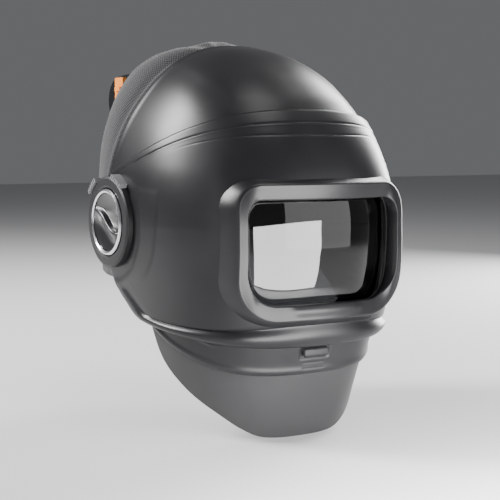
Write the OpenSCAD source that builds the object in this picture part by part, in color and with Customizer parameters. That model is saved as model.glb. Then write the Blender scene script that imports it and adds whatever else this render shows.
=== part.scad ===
// Powered air headtop: a tilting hard shell with a flip-up shield, worn on an
// adjustable head harness and fed with air through a swivelling rear inlet.
// Millimetres. The origin is midway between the two side pivots, +Z is up,
// the shield faces -Y and the wearer's right side is -X.

/* [Shell] */
// width across the shell at the pivots
shell_width = 236; // [200:1:290]
// reach of the shell ahead of the section centre
shell_front = 164; // [140:1:200]
// reach of the shell's own curve behind the section centre
shell_rear = 112; // [95:1:135]
// crown height above the pivots
crown_height = 161; // [145:1:195]
// depth of the throat bib below the pivots
chin_depth = 187; // [160:1:225]
// wall of the inner shell, chin guard and bib
shell_wall = 2.8; // [2:0.1:3.4]
// how far the fabric cover stands behind the shell's own curve
cover_bulge = 24; // [20:1:30]
// cloth thickness of the cover and the face seal
cloth = 1.4; // [1:0.1:1.7]

/* [Shield] */
// wall of the flip-up shield
shield_wall = 2.6; // [2:0.1:3]
// air gap between the shield and the inner shell
shield_gap = 1.5; // [1.2:0.1:1.8]
// how far the window bezel stands out of the shield
bezel_rise = 7.6; // [5:0.2:9.2]
// radius of the bezel's crest seen from above, flatter than the shield's
bezel_curve = 200; // [160:5:260]
// corner radius of the window, upper corners
corner_top = 14; // [10:1:18]
// corner radius of the window, lower corners
corner_low = 30; // [24:1:36]
// clear opening of the bezel, across
window_width = 153; // [126:1:158]
// clear opening of the bezel, upright
window_height = 88; // [72:1:90]
// height of the window centre relative to the pivots
window_z = -20; // [-26:1:-14]

/* [Pivots] */
// radius of the round pivot housing
housing_r = 41; // [35:0.5:44]
// outer radius of the bright knob ring
ring_r = 30; // [25:0.5:31]
// radius of the hub boss that the shield turns on
boss_r = 12; // [10.6:0.1:14.4]
// radius of the harness axle
axle_r = 4; // [3.2:0.1:4.8]
// radius of the knob spigot
spigot_r = 6; // [5:0.1:6.2]
// radial clearance of every turning pin
fit = 0.06; // [0.04:0.01:0.08]

/* [Harness] */
// half width of the headband
band_half = 78; // [68:1:80]
// reach of the headband ahead of the pivots
band_front = 100; // [90:1:104]
// height of the headband strip
band_tall = 24; // [20:1:28]
// wall of the headband and the cradle
band_wall = 2; // [1.6:0.1:2.4]
// reach of the cradle behind the pivots at mid size
cradle_rear = 86; // [80:1:88]
// radius of the size-adjusting knob
dial_r = 19; // [16:0.5:22]
// radius of the pinion on that knob
pinion_r = 5; // [4:0.1:6]

/* [Air path] */
// bore radius of the breathing-tube inlet
inlet_bore = 13; // [11:0.5:14]
// outer radius of the swivelling inlet tube
inlet_r = 17; // [15.5:0.5:19]
// length of the inlet tube
inlet_long = 26; // [24:1:32]
// half width of the rear duct
duct_half = 65; // [58:1:70]

/* [Hidden] */

$fn = 64;
hw = shell_width / 2;
// section centre, fore and aft
yc = -6;
// corner sharpness of the front and rear halves of each section
sharp_front = 2.9;
sharp_rear = 2.2;
// how squarely width, front and rear close over the crown
crown_power = [2.4, 1.95, 2.2];
low_scale = chin_depth / 187;
// height below the pivots, then how much width, front and rear have drawn in
LOW = [[0, 0, 0, 0], [-25, 0.5, 0, 1], [-55, 2, 3, 4], [-85, 5, 11, 8],
    [-115, 9, 20, 12], [-150, 16, 29, 18], [-187, 24, 37, 26]];
// offsets of the layers from the shield's outer face
in_out = -shield_wall - shield_gap;
in_in = in_out - shell_wall;
bib_out = in_in - 0.3;
bib_in = bib_out - 2.2;
visor_out = in_in - 1.7;
visor_in = visor_out - 2.2;
frame_in = visor_in - 2.6;
// heights of the window opening
win_lo = window_z - window_height / 2;
win_hi = window_z + window_height / 2;
win_half = window_width / 2;
// rear edge of the hard shell in side view, bottom to top
ks = crown_height / 161;
kr = shell_rear / 112;
kf = shell_front / 164;
EDGE = [[-38, -82], [-8, -60], [12, -42], [22, -20], [26, 10], [22 * kr, 38 * ks],
    [16, 60 * ks], [4, 90 * ks], [-6, 115 * ks], [-12, 140 * ks], [-14, 156 * ks]];
// the same edge shifted fore or aft
function edge(d) = [for (p = EDGE) [p[0] + d, p[1]]];
band_z = 46;
strap_y = [-46, 22];
col_n = 60;

// smooth curve through four table values
function through(a, b, c, d, t) = 0.5 * (2 * b + (c - a) * t
    + (2 * a - 5 * b + 4 * c - d) * t * t + (3 * b - a - 3 * c + d) * t * t * t);
function low_at(i, k) = i < 0 ? LOW[-i][k] : i < len(LOW) ? LOW[i][k]
    : 2 * LOW[len(LOW) - 1][k] - LOW[len(LOW) - 2][k];
function low_row(z, i = 0) = i >= len(LOW) - 2 || z > LOW[i + 1][0] ? i : low_row(z, i + 1);
function drawn_in(z, k) = let (i = low_row(z), t = (z - LOW[i][0]) / (LOW[i + 1][0] - LOW[i][0]))
    through(low_at(i - 1, k), low_at(i, k), low_at(i + 1, k), low_at(i + 2, k), t);
// half width (k 0), front reach (k 1) or rear reach (k 2) at a height
function base(k, back) = k == 0 ? hw : k == 1 ? shell_front : shell_rear + back;
function reach(z, k, off, back = 0) = let (b = base(k, back) + off, m = crown_power[k])
    z < 0 ? b - drawn_in(z / low_scale, k + 1)
    : pow(max(0, 1 - pow(z / (crown_height + off), m)), 1 / m) * b;
function sharp(z) = sharp_front - (z >= 0 ? 0.6 * min(1, z / crown_height)
    : 0.3 * min(1, -z / chin_depth));
// one point of the form, th measured from straight ahead
function on_form(z, th, off, back = 0) = let (w = reach(z, 0, off, back),
    f = cos(th) > 0, l = reach(z, f ? 1 : 2, off, back), n = f ? sharp(z) : sharp_rear,
    r = pow(pow(abs(sin(th)) / w, n) + pow(abs(cos(th)) / l, n), -1 / n))
    [r * sin(th), yc - r * cos(th), z];
// Y of the front face at a place across and up
function face_y(x, z, off) = let (n = sharp(z), q = min(0.999, abs(x) / reach(z, 0, off)))
    yc - reach(z, 1, off) * pow(1 - pow(q, n), 1 / n);
// rows of the form from the bottom to just under the pole
function rows(off, drop) = concat(
    [for (i = [0:12]) -(chin_depth + drop) * (1 - i / 13)],
    [for (a = [0, 8, 16, 24, 32, 40, 48, 56, 64, 71, 78, 84, 88]) (crown_height + off) * sin(a)]);

// closed solid of the form, offset inwards or outwards, with a flat bottom
module form(off, back = 0, drop = 8) {
    zs = rows(off, drop);
    n = len(zs);
    pts = concat([for (z = zs) for (c = [0:col_n - 1]) on_form(z, c * 360 / col_n, off, back)],
        [[0, yc, crown_height + off]]);
    side = [for (r = [0:n - 2]) for (c = [0:col_n - 1]) let (d = (c + 1) % col_n)
        each [[r * col_n + c, r * col_n + d, (r + 1) * col_n + d],
            [r * col_n + c, (r + 1) * col_n + d, (r + 1) * col_n + c]]];
    top = [for (c = [0:col_n - 1]) [(n - 1) * col_n + c, (n - 1) * col_n + (c + 1) % col_n, n * col_n]];
    bottom = [[for (c = [col_n - 1:-1:0]) c]];
    polyhedron([for (p = pts) p], [for (f = concat(side, top, bottom)) [for (i = [len(f) - 1:-1:0]) f[i]]]);
}

// prism across the whole width from a side-view outline (Y, Z)
module side_prism(pts, wide = 400) {
    rotate([90, 0, 90]) linear_extrude(wide, center = true) polygon(pts);
}

// outline of an upright rounded rectangle in front view (X, Z)
function round_rect(half, lo, hi, r, n = 6, low = 0) = [for (q = [0:3]) for (i = [0:n])
    let (a = q * 90 + i * 90 / n, sx = (q == 0 || q == 3) ? 1 : -1, sz = q < 2 ? 1 : -1,
        e = sz > 0 || low == 0 ? r : low)
    [sx * (half - e) + e * cos(a), (sz > 0 ? hi - e : lo + e) + e * sin(a)]];

// the same outline with extra points along its straight sides
function fine_rect(half, lo, hi, r, low, n = 8, m = 7) =
    let (p = round_rect(half, lo, hi, r, n, low), k = n + 1)
    [for (q = [0:3]) each concat([for (i = [0:n]) p[q * k + i]],
        [for (j = [1:m]) p[q * k + n] + (p[((q + 1) % 4) * k] - p[q * k + n]) * j / (m + 1)])];

// prism along Y from a front-view outline, in front of the section centre
module front_prism(pts) {
    translate([0, -40, 0]) rotate([90, 0, 0]) linear_extrude(240) polygon(pts);
}

// the two mirrored copies of a side part
module both() {
    children();
    mirror([1, 0, 0]) children();
}

// cylinder along +X from x0 to x1
module rod(r, x0, x1, y = 0, z = 0) {
    translate([x0, y, z]) rotate([0, 90, 0]) cylinder(r = r, h = x1 - x0);
}

// ring swept round the window: each loop is [grow across, grow upright, offset, flatness,
// corner growth], where flatness 1 lies on the bezel's own flatter curve and 0 on the form
module window_loop(loops) {
    m = 4 * (9 + 7);
    n = len(loops);
    pts = [for (l = loops) each [for (p = fine_rect(win_half + l[0], win_lo - l[1], win_hi + l[1],
        corner_top + l[4], corner_low + l[4]))
        [p[0], (1 - l[3]) * face_y(p[0], p[1], l[2])
            + l[3] * (face_y(0, p[1], l[2]) + p[0] * p[0] / (2 * bezel_curve)), p[1]]]];
    polyhedron(pts, [for (k = [0:n - 1]) for (i = [0:m - 1])
        let (a = k * m + i, b = k * m + (i + 1) % m, e = ((k + 1) % n) * m)
        each [[a, b, e + (i + 1) % m], [a, e + (i + 1) % m, e + i]]]);
}

// ---- inner shell -----------------------------------------------------------

module crown_shell() {
    color([0.06, 0.06, 0.065]) resize([0, 0, 0]) difference() {
        intersection() {
            form(in_out);
            side_prism(concat([[-260, -82]], EDGE, [[-14, 240], [-260, 240]]));
        }
        form(in_in, 0, 30);
        front_prism(round_rect(win_half + 9, win_lo - 6, win_hi + 18, 24));
        both() rod(boss_r + 0.3, hw - 30, hw + 5);
    }
}

module chin_guard() {
    color([0.075, 0.075, 0.08]) resize([0, 0, 0]) difference() {
        intersection() {
            form(in_out);
            side_prism([[-260, -82.3], [-38, -82.3], [-37, -84.5], [-80, -107],
                [-130, -126], [-260, -130]]);
        }
        form(in_in, 0, 30);
        front_prism(round_rect(win_half + 9, win_lo - 6, win_hi + 18, 24));
        translate([0, -200, -108]) cube([27, 160, 9], center = true);
    }
}

module throat_bib() {
    color([0.14, 0.14, 0.15]) resize([0, 0, 0]) difference() {
        intersection() {
            form(bib_out);
            side_prism([[-42, -86], [-55, -120], [-76, -140], [-104, -160 * low_scale], [-118, -173 * low_scale],
                [-124, -179 * low_scale], [-130, -183.5 * low_scale], [-260, -187 * low_scale],
                [-260, -116], [-130, -113], [-84, -93]]);
        }
        form(bib_in, 0, 30);
    }
}

module clear_visor() {
    color([0.75, 0.8, 0.82, 0.35]) resize([0, 0, 0]) difference() {
        intersection() {
            form(visor_out);
            front_prism(round_rect(win_half + 13, win_lo - 9, win_hi + 21, 24));
        }
        form(visor_in, 0, 30);
    }
}

module visor_seal() {
    color([0.03, 0.03, 0.03]) resize([0, 0, 0]) difference() {
        intersection() {
            form(in_in - 0.1);
            front_prism(round_rect(win_half + 13, win_lo - 9, win_hi + 21, 24));
        }
        form(visor_out + 0.1, 0, 30);
        front_prism(round_rect(win_half + 9.5, win_lo - 6.5, win_hi + 18.5, 24));
    }
}

module visor_frame() {
    color([0.05, 0.05, 0.05]) resize([0, 0, 0]) difference() {
        intersection() {
            form(visor_in - 0.1);
            front_prism(round_rect(win_half + 16, win_lo - 12, win_hi + 24, 26));
        }
        form(frame_in, 0, 30);
        front_prism(round_rect(win_half + 9, win_lo - 5, win_hi + 17, 24));
    }
}

// soft funnel from the shell towards the wearer's cheeks and chin
function seal_loop(in, t) = let (c = cos(t), s = sin(t), top = in ? 46 : 62,
    low = in ? -104 : -122, z = (top + low) / 2 + s * (top - low) / 2,
    y = in ? -84 - 24 * max(0, s) : -112 - 16 * max(0, s),
    wide = in ? hw - 29 : hw - 31) [wide * c, y, z];

module face_seal() {
    m = 48;
    skins = [[true, cloth], [true, 0], [false, 0], [false, cloth]];
    pts = [for (k = skins) each [for (i = [0:m - 1]) let (t = i * 360 / m)
        seal_loop(k[0], t) - k[1] * [cos(t), 0, sin(t)]]];
    color([0.2, 0.2, 0.21]) polyhedron(pts, [for (k = [0:3]) for (i = [0:m - 1])
        let (a = k * m + i, b = k * m + (i + 1) % m, e = ((k + 1) % 4) * m)
        each [[a, e + (i + 1) % m, b], [a, e + i, e + (i + 1) % m]]]);
}

// rear cloth, from behind the shell's edge round the back of the head
module head_cover() {
    color([0.33, 0.33, 0.34]) resize([0, 0, 0]) difference() {
        intersection() {
            form(-4, cover_bulge);
            side_prism(concat([[-30, -84]], edge(0.8), [[-13, 240], [260, 240], [260, -50], [60, -66]]));
        }
        form(-4 - cloth, cover_bulge, 30);
        both() rod(housing_r + 3, hw - 8, hw + 30);
        // air passes through the cloth here into the brow duct
        translate([0, 100, duct_z]) cube([40, 60, 24], center = true);
    }
}

module cover_binding() {
    color([0.09, 0.09, 0.09]) resize([0, 0, 0]) difference() {
        intersection() {
            form(in_in - 0.1);
            side_prism(concat([[-38, -78]], edge(-13), [[-27, 240], [-15, 240]],
                [for (i = [len(EDGE) - 1:-1:0]) EDGE[i] + [-1, 0]]));
        }
        form(in_in - 1.7, 0, 30);
        both() rod(boss_r + 9, hw - 30, hw + 5);
    }
}

// ---- air path --------------------------------------------------------------

module brow_duct() {
    color([0.08, 0.08, 0.08]) resize([0, 0, 0]) difference() {
        intersection() {
            form(-9.8, cover_bulge);
            side_prism([[-260, 64], [0, 64], [60, 100], [260, 100], [260, 240], [-260, 240]], 46);
        }
        form(-16, cover_bulge, 30);
        intersection() {
            difference() {
                form(-11, cover_bulge);
                form(-14.8, cover_bulge, 30);
            }
            cube([43, 600, 600], center = true);
        }
        difference() {
            translate([0, 100, duct_z]) cube([38, 60, 20], center = true);
            form(-13, cover_bulge, 30);
        }
    }
}

module brow_deflector() {
    color([0.1, 0.1, 0.1]) resize([0, 0, 0]) difference() {
        intersection() {
            form(in_in - 0.1);
            translate([0, -200, 61.6]) cube([92, 280, 3], center = true);
        }
        form(-15.8, 0, 30);
    }
}

duct_z = 112;
duct_y = 98;
duct_r = 26.6;
// middle bulb of the duct, where the breathing tube comes in
bulb_y = duct_y + 10;
bulb_z = duct_z - 14;
bulb_r = 26;
module duct_bulk(shrink) {
    hull() {
        for (sx = [-1, 1]) translate([sx * (duct_half - 14), duct_y, duct_z])
            sphere(duct_r - shrink, $fn = 28);
        translate([0, bulb_y, bulb_z]) sphere(bulb_r - shrink, $fn = 28);
    }
}

// places a part drawn along +Z on the inlet's axis, out of the bulb's centre
module on_inlet() {
    translate([0, bulb_y, bulb_z]) rotate([-110, 0, 0]) children();
}

module rear_duct() {
    color([0.04, 0.04, 0.045]) resize([0, 0, 0]) difference() {
        intersection() {
            duct_bulk(0);
            cube([2 * duct_half, 600, 600], center = true);
        }
        form(-3.6, cover_bulge, 30);
        intersection() {
            duct_bulk(2.4);
            cube([2 * duct_half - 5, 600, 600], center = true);
        }
        on_inlet() cylinder(r = inlet_r + 4.3, h = 48);
        on_inlet() for (s = [-1, 1]) translate([s * (inlet_r + 5.6), 0, 0]) cylinder(r = 1, h = 40);
    }
}

module duct_gasket() {
    color([0.03, 0.03, 0.03]) on_inlet() translate([0, 0, 16]) difference() {
        cylinder(r = inlet_r + 4, h = 1.6);
        translate([0, 0, -1]) cylinder(r = inlet_r - 1.5, h = 4);
    }
}

collar_from = 17.7;
module inlet_collar() {
    color([0.06, 0.06, 0.06]) on_inlet() difference() {
        union() {
            translate([0, 0, collar_from]) cylinder(r = inlet_r + 4, h = 16.3);
            translate([0, 0, collar_from + 6]) cylinder(r = inlet_r + 7.4, h = 3);
        }
        translate([0, 0, collar_from - 1]) cylinder(r = inlet_r + fit, h = 20);
        for (s = [-1, 1]) translate([s * (inlet_r + 5.6), 0, 20]) cylinder(r = 0.82, h = 10);
    }
}

// two little screws that hold the collar's lugs
module collar_screws() {
    color([0.7, 0.7, 0.72]) on_inlet() for (s = [-1, 1]) translate([s * (inlet_r + 5.6), 0, 0]) {
        translate([0, 0, 14]) cylinder(r = 0.8, h = collar_from - 4.9);
        translate([0, 0, collar_from + 9.05]) cylinder(r = 1.5, h = 1.4);
    }
}

tube_from = 22;
module inlet_swivel() {
    color([0.08, 0.08, 0.085]) on_inlet() translate([0, 0, tube_from]) difference() {
        union() {
            cylinder(r = inlet_r, h = inlet_long);
            translate([0, 0, inlet_long - 6]) cylinder(r = inlet_r + 3.4, h = 6);
            translate([0, 0, 13.5]) cylinder(r = inlet_r + 2, h = 2);
        }
        translate([0, 0, -1]) cylinder(r = inlet_bore, h = inlet_long + 2);
        translate([0, 0, 6]) rotate_extrude() translate([inlet_r - 1, 0]) square([4, 1.8]);
    }
}

module inlet_ring() {
    color([0.02, 0.02, 0.02]) on_inlet() translate([0, 0, tube_from + 6.1])
        rotate_extrude() translate([inlet_r - 0.95, 0]) square([0.65, 1.6]);
}

module flow_slider() {
    color([0.95, 0.42, 0.1]) union() {
        translate([-duct_half - 4.4, duct_y - 18, duct_z + 1]) cube([4, 17, 21]);
        translate([-duct_half - 6.4, duct_y - 15, duct_z + 9]) cube([2.1, 11, 4]);
    }
}

module damper_flap() {
    color([0.12, 0.12, 0.12]) union() {
        translate([-30, duct_y + 13.2, duct_z - 18]) cube([60, 1.6, 14]);
        rod(2, -34, 34, duct_y + 14, duct_z - 4);
    }
}

// ---- side pivots (drawn for +X) ---------------------------------------------

module hub() {
    color([0.1, 0.1, 0.1]) difference() {
        union() {
            rod(boss_r, hw - 17, hw + 0.35);
            rod(boss_r + 6, hw + in_in - 6.6, hw + in_in - 3.3);
        }
        rod(axle_r + fit, hw - 20, hw - 2.5);
        rod(spigot_r + fit, hw - 1.5, hw + 4);
        for (a = [30, 150, 270])
            rod(1.1, hw - 9, hw + 2, (boss_r - 2.8) * cos(a), (boss_r - 2.8) * sin(a));
    }
}

module hub_left() { hub(); }

module hub_right() { mirror([1, 0, 0]) hub(); }

module housing() {
    color([0.05, 0.05, 0.055]) difference() {
        union() {
            rod(housing_r, hw + 0.4, hw + 3.4);
            difference() {
                rod(housing_r, hw + 3.3, hw + 6.6);
                rod(ring_r + 1, hw + 3, hw + 9);
            }
            rotate([0, 90, 0]) translate([0, 0, hw + 6.6]) rotate_extrude() polygon([[ring_r + 1, -0.1],
                [housing_r, -0.1], [housing_r - 2, 1.2], [ring_r + 3, 1.8], [ring_r + 1, 1]]);
        }
        rod(spigot_r + fit, hw, hw + 9);
        for (a = [30, 150, 270]) {
            rod(1.1, hw, hw + 4, (boss_r - 2.8) * cos(a), (boss_r - 2.8) * sin(a));
            rod(2.1, hw + 1.7, hw + 9, (boss_r - 2.8) * cos(a), (boss_r - 2.8) * sin(a));
        }
    }
}

module housing_left() { housing(); }

module housing_right() { mirror([1, 0, 0]) housing(); }

module hub_screws() {
    color([0.75, 0.75, 0.77]) both() for (a = [30, 150, 270]) {
        rod(1.08, hw - 8, hw + 1.8, (boss_r - 2.8) * cos(a), (boss_r - 2.8) * sin(a));
        rod(2, hw + 1.8, hw + 3.2, (boss_r - 2.8) * cos(a), (boss_r - 2.8) * sin(a));
    }
}

// ribbed finger pads on the housing rim, two each side
module grip_tabs() {
    color([0.22, 0.22, 0.23]) both() for (a = [48, 118]) rotate([a, 0, 0]) difference() {
        intersection() {
            rod(housing_r + 4, hw + 0.9, hw + 9.6);
            translate([hw - 5, housing_r - 40, -9]) cube([20, 60, 18]);
        }
        rod(housing_r + 0.05, hw - 2, hw + 20);
        for (k = [-2:2]) translate([hw + 9, housing_r - 2, k * 3.4 - 0.6]) cube([2, 10, 1.2]);
    }
}

module knob() {
    color([0.03, 0.03, 0.035]) union() {
        rod(ring_r - 3.6, hw + 3.8, hw + 5.6);
        rod(spigot_r, hw - 1, hw + 3.9);
        intersection() {
            rod(ring_r - 3.7, hw + 5.5, hw + 10.4);
            rotate([22, 0, 0]) translate([hw + 5.5, -40, -4.2]) cube([4.6, 80, 8.4]);
        }
    }
}

module knob_left() { knob(); }

module knob_right() { mirror([1, 0, 0]) knob(); }

module knob_ring() {
    color([0.8, 0.8, 0.82]) rotate([0, 90, 0]) translate([0, 0, hw + 3.8]) rotate_extrude()
        polygon([[ring_r - 3.55, 0], [ring_r, 0], [ring_r, 4.6], [ring_r - 0.8, 5.6], [ring_r - 2, 6],
            [ring_r - 3.55, 5.2]]);
}

module ring_left() { knob_ring(); }

module ring_right() { mirror([1, 0, 0]) knob_ring(); }

// rubber pads that soften the shield's closing
module bumper_pads() {
    color([0.03, 0.03, 0.03]) resize([0, 0, 0]) difference() {
        intersection() {
            form(in_out + 0.7);
            both() translate([42, -40, -90]) rotate([90, 0, 0]) cylinder(r = 5, h = 200, $fn = 24);
        }
        form(in_out + 0.05, 0, 30);
    }
}

// ---- shield ----------------------------------------------------------------

module shield_shell() {
    color([0.035, 0.035, 0.04]) resize([0, 0, 0]) difference() {
        intersection() {
            form(0);
            side_prism([[8, 42.8], [-137, 98.7 * ks], [-260, 146 * ks], [-260, -112], [-150, -98],
                [-36, -80], [-8, -60], [8, -44]]);
        }
        form(-shield_wall, 0, 30);
        front_prism(round_rect(win_half + 6.6, win_lo - 6.6, win_hi + 6.6, corner_top + 6.6, 8, corner_low + 6.6));
        both() rod(housing_r + 2.2, hw - 12, hw + 8);
    }
}

module shield_hub() {
    color([0.04, 0.04, 0.045]) difference() {
        rod(housing_r + 2, hw - shield_wall, hw);
        rod(boss_r + fit, hw - 10, hw + 5);
    }
}

module shield_hub_left() { shield_hub(); }

module shield_hub_right() { mirror([1, 0, 0]) shield_hub(); }

module window_bezel() {
    color([0.05, 0.05, 0.055]) window_loop([[16.4, 20, 0.4, 0, 14], [8.4, 14.4, bezel_rise - 1, 1, 8],
        [6.6, 12.6, bezel_rise, 1, 6.6], [5, 10.6, bezel_rise - 0.5, 1, 5], [1, 1.6, 0.42 * bezel_rise, 1, 1],
        [0, 0, 1.4, 1, 0], [0, 0, -shield_wall, 0, 0], [5.9, 5.9, -shield_wall, 0, 5.9],
        [5.9, 5.9, 0.35, 0, 5.9]]);
}

// plain ring of the window's outline between two growths and two offsets
module window_ring(g0, g1, off0, off1) {
    window_loop([[g1, g1, off0, 0, g1], [g1, g1, off1, 0, g1], [g0, g0, off1, 0, g0], [g0, g0, off0, 0, g0]]);
}

module filter_frame() {
    color([0.06, 0.06, 0.06]) window_ring(2, 5.5, -shield_wall - 0.2, -shield_wall - 2.4);
}

module filter_gasket() {
    color([0.02, 0.02, 0.02]) window_ring(0.3, 1.8, -shield_wall - 0.2, -shield_wall - 1.4);
}

// spring leaves at the window's two ends that hold a welding filter's frame
module filter_clips() {
    color([0.6, 0.6, 0.62]) resize([0, 0, 0]) difference() {
        intersection() {
            form(-shield_wall - 0.4);
            both() translate([win_half + 10.3, -240, window_z - 26]) cube([3, 200, 52]);
        }
        form(-shield_wall - 0.9, 0, 30);
    }
}

// ---- chin button -----------------------------------------------------------

button_y = face_y(0, -108, in_out);
module chin_button() {
    color([0.1, 0.1, 0.105]) union() {
        translate([-13, button_y - 2.2, -112]) cube([26, 4.4, 8]);
        translate([-13, button_y - 3, -107.2]) cube([26, 0.9, 2.2]);
    }
}

// little coil behind the button, drawn as the tube it fills
module button_spring() {
    color([0.7, 0.7, 0.72]) translate([0, button_y + 6.6, -108]) rotate([90, 0, 0]) difference() {
        cylinder(r = 3, h = 4);
        translate([0, 0, -1]) cylinder(r = 2.2, h = 6);
    }
}

module button_bracket() {
    color([0.07, 0.07, 0.07]) difference() {
        translate([-19, button_y + 5, -112]) cube([38, 3, 8]);
        translate([-14.5, button_y + 3, -113]) cube([29, 3.65, 10]);
    }
}

// ---- harness ---------------------------------------------------------------

function band_x(y, grow = 0) = y > 0 ? band_half + grow
    : (band_half + grow) * pow(1 - pow(min(1, -y / (band_front + grow)), 2.4), 1 / 2.4);
// open-backed strip outline between two offsets of the headband line
function arc_pts(grow, a0, a1, n = 28) = [for (i = [0:n]) let (a = a0 + (a1 - a0) * i / n,
    l = band_front + grow, w = band_half + grow,
    r = pow(pow(abs(sin(a)) / w, 2.4) + pow(abs(cos(a)) / l, 2.4), -1 / 2.4))
    [r * sin(a), -r * cos(a)]];

module strip(outer, inner, z0, z1) {
    translate([0, 0, z0]) linear_extrude(z1 - z0)
        polygon(concat(outer, [for (i = [len(inner) - 1:-1:0]) inner[i]]));
}

module headband() {
    color([0.12, 0.12, 0.13]) difference() {
        strip(concat([[-band_half, 42]], arc_pts(0, -90, 90), [[band_half, 42]]),
            concat([[-band_half + band_wall, 42]], arc_pts(-band_wall, -90, 90), [[band_half - band_wall, 42]]),
            band_z - band_tall / 2, band_z + band_tall / 2);
        for (y = strap_y) both() rod(2.02, 40, 120, y, band_z + 6);
    }
}

module sweatband() {
    color([0.25, 0.25, 0.26]) strip(arc_pts(-band_wall - 0.3, -52, 52), arc_pts(-band_wall - 4, -52, 52),
        band_z - band_tall / 2 - 3, band_z + band_tall / 2 + 3);
}

// arch over the head between two offsets, as an X-Z outline
function arch(half, rise, n = 28) = [for (i = [0:n]) let (a = 180 * i / n)
    [half * cos(a), band_z + rise * pow(abs(sin(a)), 0.86)]];

module strap(y, rise) {
    half = band_x(y) + 0.1;
    color([0.13, 0.13, 0.14]) difference() {
        translate([0, y + 9, 0]) rotate([90, 0, 0]) linear_extrude(18)
            polygon(concat(arch(half + 1.7, rise + 1.7), [for (i = [28:-1:0]) arch(half, rise)[i]]));
        both() rod(2.02, 40, 120, y, band_z + 6);
        strip(concat([[-band_half, 60]], arc_pts(0.08, -90, 90), [[band_half, 60]]),
            concat([[-band_half + 9, 60]], arc_pts(-9, -90, 90), [[band_half - 9, 60]]),
            band_z - band_tall / 2 - 1, band_z + band_tall / 2 + 0.4);
    }
}

module strap_front() { strap(strap_y[0], 84); }

module strap_rear() { strap(strap_y[1], 86); }

module strap_studs() {
    color([0.3, 0.3, 0.31]) both() for (y = strap_y) {
        rod(2, band_x(y) - band_wall - 0.2, band_x(y) + 3.4, y, band_z + 6);
    }
}

// soft pad under the two straps
module crown_pad() {
    color([0.25, 0.25, 0.26]) translate([-18, strap_y[0] - 9, band_z + 77]) cube([36, 86, 3.6]);
}

module side_arm() {
    inner = band_half + 0.1;
    color([0.1, 0.1, 0.11]) difference() {
        union() {
            rod(13, hw - 24, hw - 21);
            translate([hw - 24, -13, 0]) cube([3, 26, band_z + 10]);
            translate([inner, -11, band_z - 8]) cube([hw - 24 - inner + 1, 22, 14]);
        }
        rod(axle_r + 0.02, hw - 30, hw - 10);
    }
}

module side_arm_left() { side_arm(); }

module side_arm_right() { mirror([1, 0, 0]) side_arm(); }

module axle() {
    color([0.75, 0.75, 0.77]) union() {
        rod(axle_r, hw - 26, hw - 3);
        rod(axle_r + 3, hw - 27.6, hw - 24.1);
        rod(axle_r + 3, hw - 20.9, hw - 18.5);
    }
}

module axle_left() { axle(); }

module axle_right() { mirror([1, 0, 0]) axle(); }

// ---- cradle with its ratchet -------------------------------------------------

cradle_half = band_half - band_wall - 0.6;
function rear_arc(grow, n = 24) = [for (i = [0:n]) let (a = 90 - 180 * i / n,
    w = cradle_half + grow, l = cradle_rear - 50 + grow,
    r = pow(pow(abs(sin(a)) / w, 2.6) + pow(abs(cos(a)) / l, 2.6), -1 / 2.6))
    [r * sin(a), 50 + r * cos(a)]];

module cradle() {
    color([0.12, 0.12, 0.13]) strip(concat([[cradle_half, 14]], rear_arc(0), [[-cradle_half, 14]]),
        concat([[cradle_half - band_wall, 14]], rear_arc(-band_wall), [[-cradle_half + band_wall, 14]]),
        band_z - band_tall / 2 + 2, band_z + band_tall / 2 - 2);
}

module nape_pad() {
    a = rear_arc(-band_wall - 0.3);
    b = rear_arc(-band_wall - 5.5);
    color([0.25, 0.25, 0.26]) strip([for (i = [6:18]) a[i]], [for (i = [6:18]) b[i]],
        band_z - band_tall / 2 - 3, band_z + band_tall / 2 + 3);
}

case_y = cradle_rear + 0.1;
module ratchet_case() {
    color([0.08, 0.08, 0.08]) translate([0, case_y, band_z]) difference() {
        translate([-30, 0, -15]) cube([60, 8, 30]);
        translate([-31, 2, -pinion_r - 4.6]) cube([62, 8, 2 * pinion_r + 9.2]);
    }
}

module ratchet_lid() {
    color([0.07, 0.07, 0.07]) translate([0, case_y + 8.05, band_z]) difference() {
        translate([-30, 0, -15]) cube([60, 2.4, 30]);
        rotate([-90, 0, 0]) translate([0, 0, -1]) cylinder(r = 4 + fit, h = 5);
    }
}

// outline of a toothed or lobed wheel
function wheel(n, r_root, r_tip, share = 0.25) = [for (k = [0:n - 1]) let (a = k * 360 / n, h = 180 / n)
    each [[r_root * cos(a - h * (1 - share)), r_root * sin(a - h * (1 - share))],
        [r_tip * cos(a - h * share), r_tip * sin(a - h * share)],
        [r_tip * cos(a + h * share), r_tip * sin(a + h * share)],
        [r_root * cos(a + h * (1 - share)), r_root * sin(a + h * (1 - share))]]];

module ratchet_dial() {
    color([0.1, 0.1, 0.1]) translate([0, case_y, band_z]) rotate([-90, 0, 0]) union() {
        translate([0, 0, 2.4]) linear_extrude(5.2) polygon(wheel(10, pinion_r - 1.2, pinion_r, 0.3));
        translate([0, 0, 7.5]) cylinder(r = 4, h = 3.6);
        translate([0, 0, 10.9]) linear_extrude(7) polygon(wheel(12, dial_r - 0.4, dial_r + 1, 0.4));
    }
}

// toothed strip above or below the pinion
module rack(s) {
    color([0.16, 0.16, 0.17]) union() {
        translate([s > 0 ? -12 : -40, case_y + 2.5, band_z + s * (pinion_r + 2.6) - 1.2]) cube([52, 5, 2.4]);
        for (k = [0:11]) translate([s * (k * 3.6 - 8) - 0.6, case_y + 2.5,
            band_z + s * (pinion_r + 1.1) - 0.6]) cube([1.2, 5, 1.2]);
    }
}

module rack_left() { rack(1); }

module rack_right() { rack(-1); }

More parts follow.
